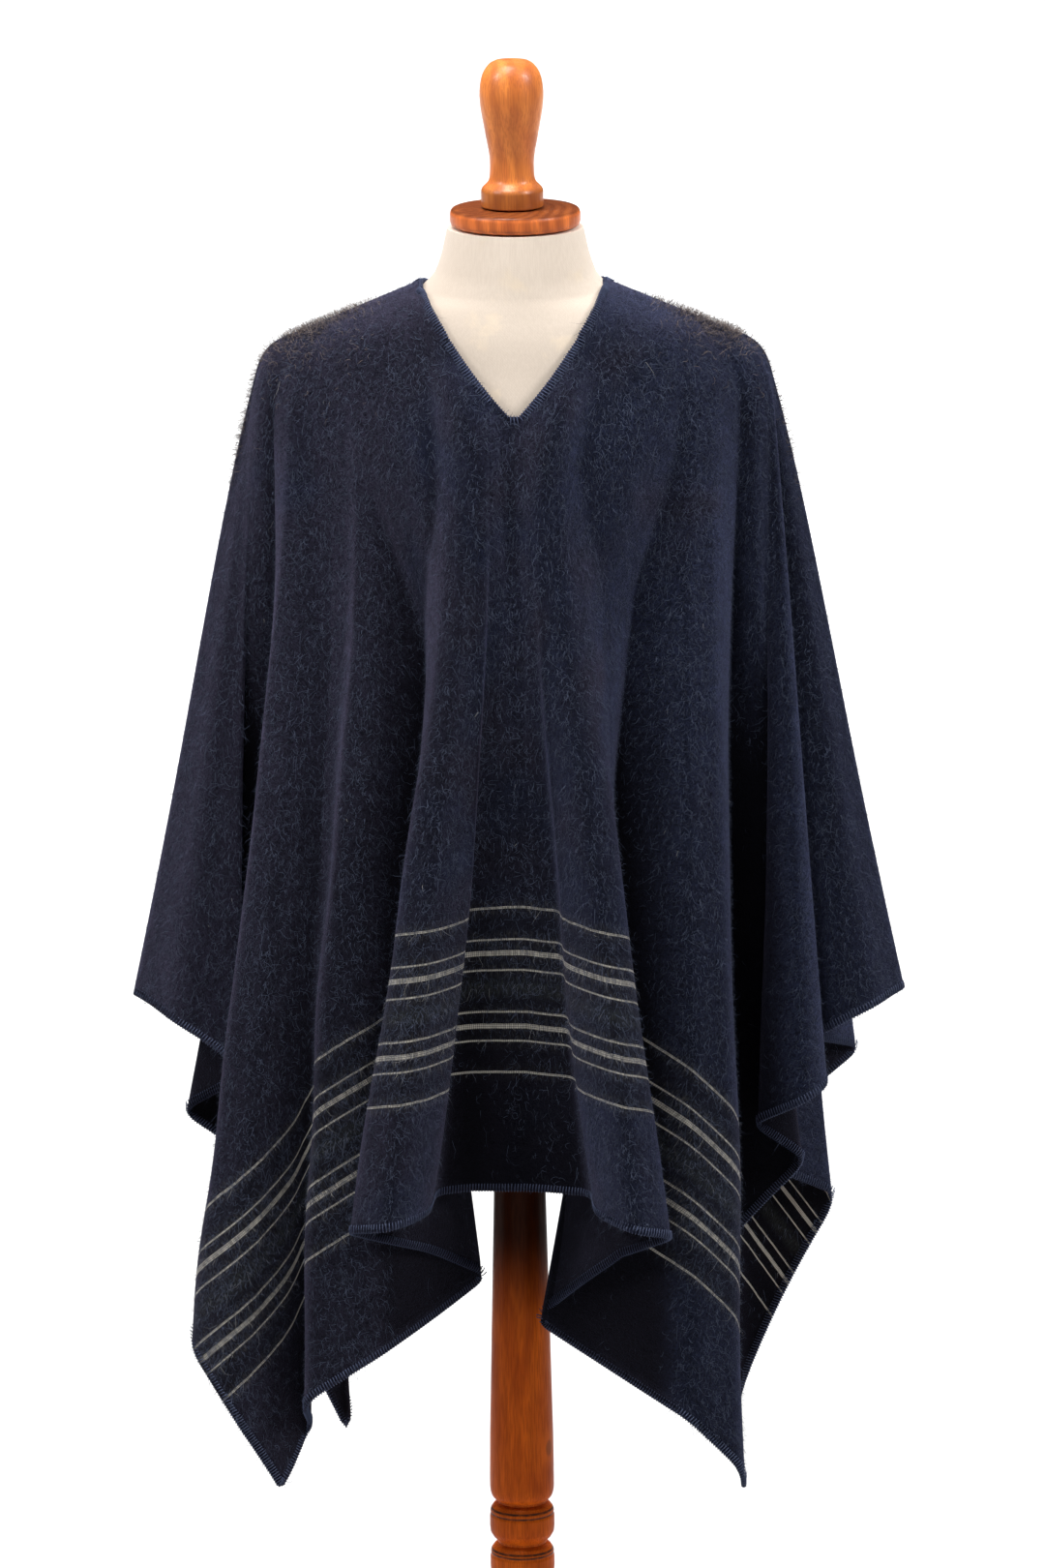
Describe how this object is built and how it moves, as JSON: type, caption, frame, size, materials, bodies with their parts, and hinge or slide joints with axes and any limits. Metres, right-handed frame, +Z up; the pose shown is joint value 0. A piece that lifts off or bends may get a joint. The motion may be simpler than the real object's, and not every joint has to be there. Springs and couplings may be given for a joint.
{
  "type": "poncho on a limbless dress form and stand",
  "caption": "Brushed woven poncho with a V neck, draped in folds over a limbless cloth-covered dress form on a turned wooden stand with a round foot.",
  "frame": {"origin": "middle of the round foot's flat underside, on the floor", "axes": "+Z up along the pole, -Y towards the wearer's front, +X to the right as seen from the front"},
  "size_m": [0.6649, 0.4, 1.6381],
  "materials": {
    "navy_cloth": "brushed nap",
    "linen_cover": "plain weave",
    "turned_wood": "varnished"
  },
  "bodies": {
    "root": {"poncho_front": "navy_cloth", "poncho_back": "navy_cloth", "form_body": "linen_cover", "neck_cap": "turned_wood", "finial": "turned_wood", "pole": "turned_wood", "foot": "turned_wood"}
  },
  "joints": []
}
